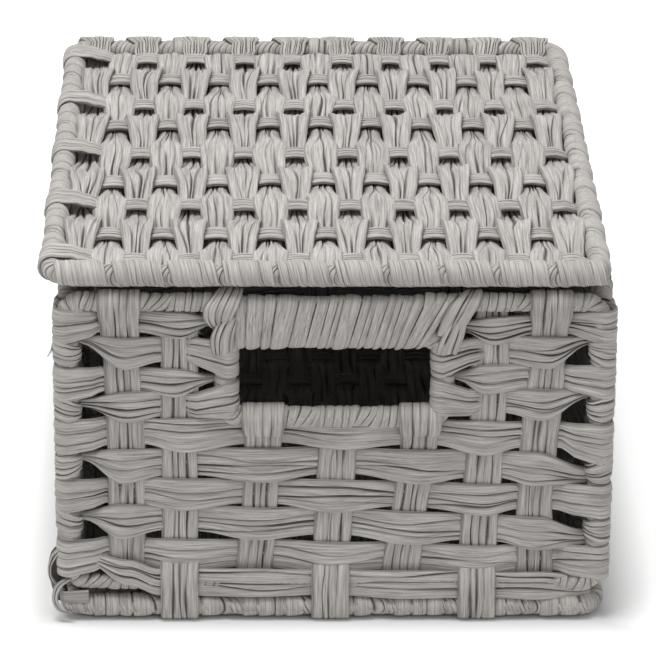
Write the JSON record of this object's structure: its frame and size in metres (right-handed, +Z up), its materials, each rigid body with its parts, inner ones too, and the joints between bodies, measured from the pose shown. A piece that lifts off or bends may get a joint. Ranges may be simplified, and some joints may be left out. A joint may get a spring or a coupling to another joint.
{
  "type": "folding storage basket",
  "caption": "Rectangular storage basket of woven ribbon panels on wire frames, with a hand hole in the front, walls that fold flat and a hinged woven lid.",
  "frame": {"origin": "on the floor, under the middle of the whole outline with the lid closed", "axes": "+Z up, the wall with the hand hole faces -Y, the lid's hinge is at +Y"},
  "size_m": [0.2982, 0.3814, 0.2],
  "materials": {
    "grey_ribbon": "matt woven ribbon with fine lengthwise fibres",
    "pale_ribbon": "matt woven ribbon, a little lighter where it is wound",
    "steel_wire": "dull dark wire, hidden inside the wrapping"
  },
  "bodies": {
    "base": {"base_frame": "steel_wire", "base_weave": "grey_ribbon"},
    "front_wall": {"front_frame": "steel_wire", "handle_wire": "steel_wire", "handle_grip": "pale_ribbon", "front_weave": "grey_ribbon", "front_left_tie_1": "pale_ribbon", "front_left_tie_2": "pale_ribbon", "front_left_tie_3": "pale_ribbon", "front_left_tie_4": "pale_ribbon", "front_right_tie_1": "pale_ribbon", "front_right_tie_2": "pale_ribbon", "front_right_tie_3": "pale_ribbon", "front_right_tie_4": "pale_ribbon", "base_strap_1": "pale_ribbon", "base_strap_2": "pale_ribbon", "base_strap_3": "pale_ribbon"},
    "left_wall": {"left_frame": "steel_wire", "left_weave": "grey_ribbon"},
    "right_wall": {"right_frame": "steel_wire", "right_weave": "grey_ribbon"},
    "rear_wall": {"rear_frame": "steel_wire", "rear_weave": "grey_ribbon", "rear_left_tie_1": "pale_ribbon", "rear_left_tie_2": "pale_ribbon", "rear_left_tie_3": "pale_ribbon", "rear_left_tie_4": "pale_ribbon", "rear_right_tie_1": "pale_ribbon", "rear_right_tie_2": "pale_ribbon", "rear_right_tie_3": "pale_ribbon", "rear_right_tie_4": "pale_ribbon"},
    "lid": {"lid_frame": "steel_wire", "lid_weave": "pale_ribbon", "lid_tie_1": "pale_ribbon", "lid_tie_2": "pale_ribbon", "lid_tie_3": "pale_ribbon"}
  },
  "joints": [
    {"name": "walls_tip", "type": "hinge", "parent": "base", "child": "front_wall", "pos_m": [0, -0.1835, 0.0065], "axis": [1, 0, 0], "range_deg": [0, 90]},
    {"name": "fold", "type": "hinge", "parent": "front_wall", "child": "left_wall", "pos_m": [-0.1344, -0.1697, 0.0993], "axis": [0, 0, -1], "range_deg": [0, 87]},
    {"name": "right_fold", "type": "hinge", "parent": "front_wall", "child": "right_wall", "pos_m": [0.1426, -0.1697, 0.0993], "axis": [0, 0, -1], "range_deg": [0, 87]},
    {"name": "rear_fold", "type": "hinge", "parent": "left_wall", "child": "rear_wall", "pos_m": [-0.1344, 0.1697, 0.0993], "axis": [0, 0, 1], "range_deg": [0, 87]},
    {"name": "lid_hinge", "type": "hinge", "parent": "rear_wall", "child": "lid", "pos_m": [0, 0.1835, 0.1783], "axis": [-1, 0, 0], "range_deg": [0, 105]}
  ],
  "couplings": [
    {"joint": "right_fold", "follows": "fold", "ratio": 1},
    {"joint": "rear_fold", "follows": "fold", "ratio": 1}
  ]
}
